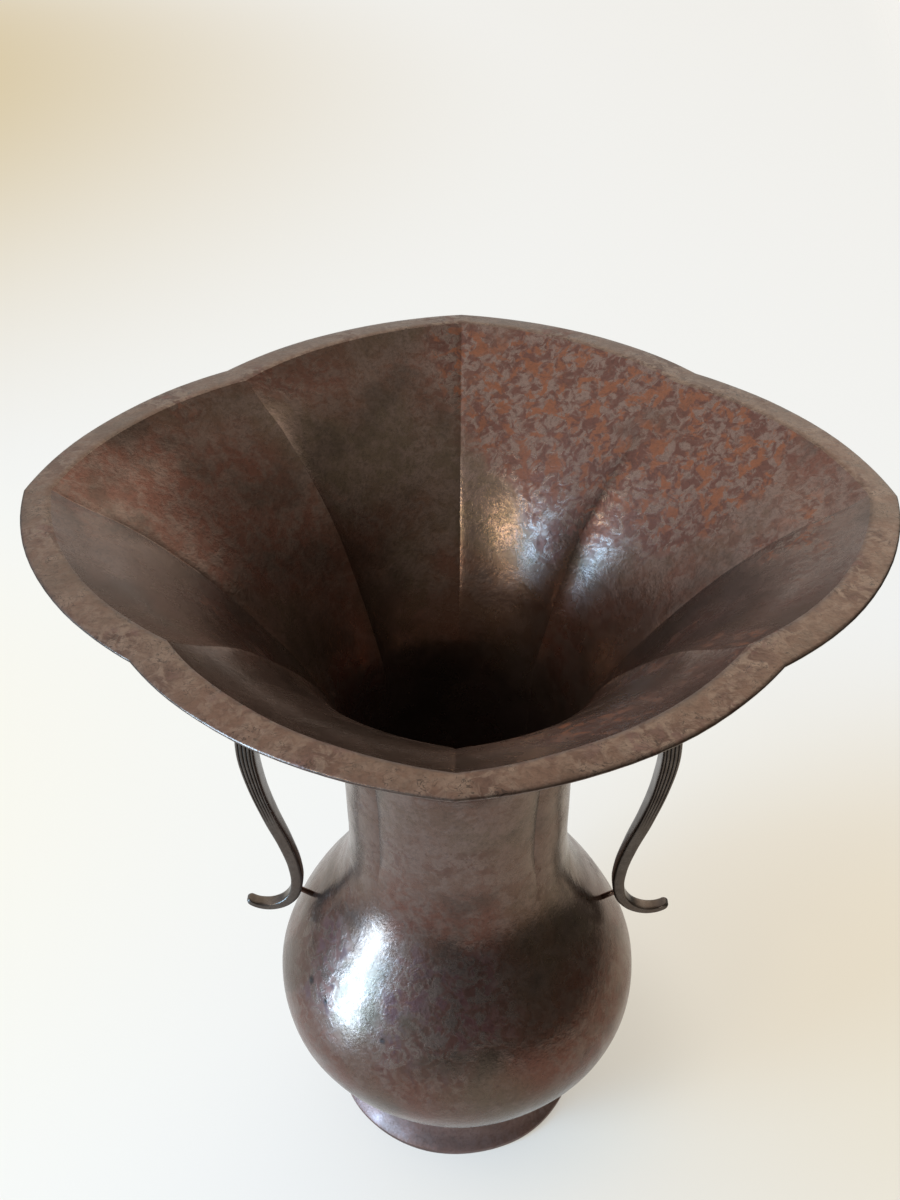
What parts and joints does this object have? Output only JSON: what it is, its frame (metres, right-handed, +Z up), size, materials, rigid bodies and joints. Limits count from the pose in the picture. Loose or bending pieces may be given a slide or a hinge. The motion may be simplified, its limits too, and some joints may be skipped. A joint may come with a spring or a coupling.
{
  "type": "ikebana vase",
  "caption": "Free-standing flower vase of beaten copper: petalled funnel mouth with a flat lip, fluted neck, globe body, flared foot ring and scroll handles.",
  "frame": {"origin": "centre of the resting plane under the foot ring", "axes": "+Z up through the mouth; the handles lie on the X axis; -Y faces the viewer of the picture"},
  "size_m": [0.254, 0.254, 0.2612],
  "materials": {
    "mottled_copper": "beaten copper with a mottled purple-brown and red patina, satin gloss",
    "lip_copper": "rubbed grey-brown copper patina, satin",
    "foot_copper": "brown copper patina, satin",
    "dark_copper": "near-black brown copper patina, satin"
  },
  "bodies": {
    "root": {"mouth_lip": "lip_copper", "mouth_flare": "mottled_copper", "neck": "mottled_copper", "shoulder": "mottled_copper", "lower_bowl": "mottled_copper", "foot_ring": "foot_copper", "base_plate": "foot_copper", "left_handle": "dark_copper", "right_handle": "dark_copper", "left_handle_top_pin": "dark_copper", "right_handle_top_pin": "dark_copper", "left_handle_foot_pin": "dark_copper", "right_handle_foot_pin": "dark_copper"}
  },
  "joints": []
}
